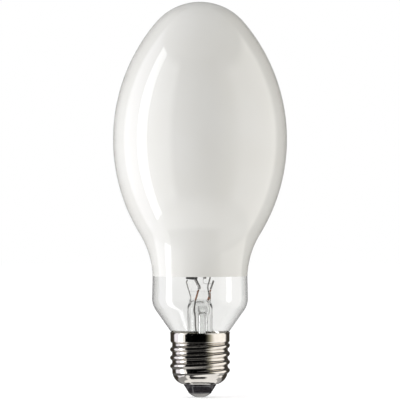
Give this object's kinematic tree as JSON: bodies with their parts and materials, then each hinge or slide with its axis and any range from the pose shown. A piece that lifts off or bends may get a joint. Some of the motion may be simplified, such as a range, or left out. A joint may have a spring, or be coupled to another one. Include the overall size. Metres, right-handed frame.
{
  "type": "high pressure sodium lamp",
  "caption": "High pressure sodium lamp with a white-coated ellipsoidal glass bulb, clear neck and screw cap",
  "frame": {"origin": "centre of the outer face of the centre contact, where the lamp's axis meets it", "axes": "+Z along the lamp's axis from the cap to the dome, the front of the picture faces -Y"},
  "size_m": [0.076, 0.076, 0.1725],
  "materials": {
    "clear_glass": "clear, polished, slightly grey",
    "white_coating": "fine matt white powder seen through clear glass",
    "nickel_plate": "polished nickel plate, slightly warm",
    "black_glass": "glossy black moulded glass",
    "contact_metal": "dull nickel plate",
    "solder": "dull tin",
    "cement": "matt grey-brown cement",
    "lead_wire": "dark drawn wire",
    "seal_wire": "copper-tinted wire in the glass",
    "frame_steel": "nickel-plated steel wire",
    "getter_metal": "dark sheet metal",
    "strap_metal": "thin bright sheet metal",
    "alumina": "translucent sintered ceramic",
    "niobium": "drawn grey metal",
    "tungsten": "dark drawn metal",
    "frit": "fused sealing glass",
    "amalgam": "silvery amalgam"
  },
  "bodies": {
    "root": {"outer_bulb": "clear_glass", "diffusing_coating": "white_coating", "cap_shell": "nickel_plate", "cap_insulator": "black_glass", "centre_contact": "contact_metal", "contact_solder": "solder", "cap_cement": "cement", "side_solder": "solder", "stem": "clear_glass", "exhaust_tube": "clear_glass", "centre_outer_lead": "lead_wire", "side_outer_lead": "lead_wire", "centre_seal_wire": "seal_wire", "side_seal_wire": "seal_wire", "centre_inner_lead": "frame_steel", "side_inner_lead": "frame_steel", "getter_support": "frame_steel", "getter_ring": "getter_metal", "frame_rod": "frame_steel", "lower_support_rod": "frame_steel", "lower_strap": "strap_metal", "upper_strap": "strap_metal", "dome_spring_left": "strap_metal", "dome_spring_right": "strap_metal", "arc_tube": "alumina", "lower_end_plug": "alumina", "upper_end_plug": "alumina", "lower_niobium_tube": "niobium", "upper_niobium_tube": "niobium", "lower_electrode": "tungsten", "upper_electrode": "tungsten", "lower_frit_seal": "frit", "upper_frit_seal": "frit", "amalgam_pill": "amalgam", "starting_wire": "tungsten", "starting_wire_support": "frame_steel"}
  },
  "joints": []
}
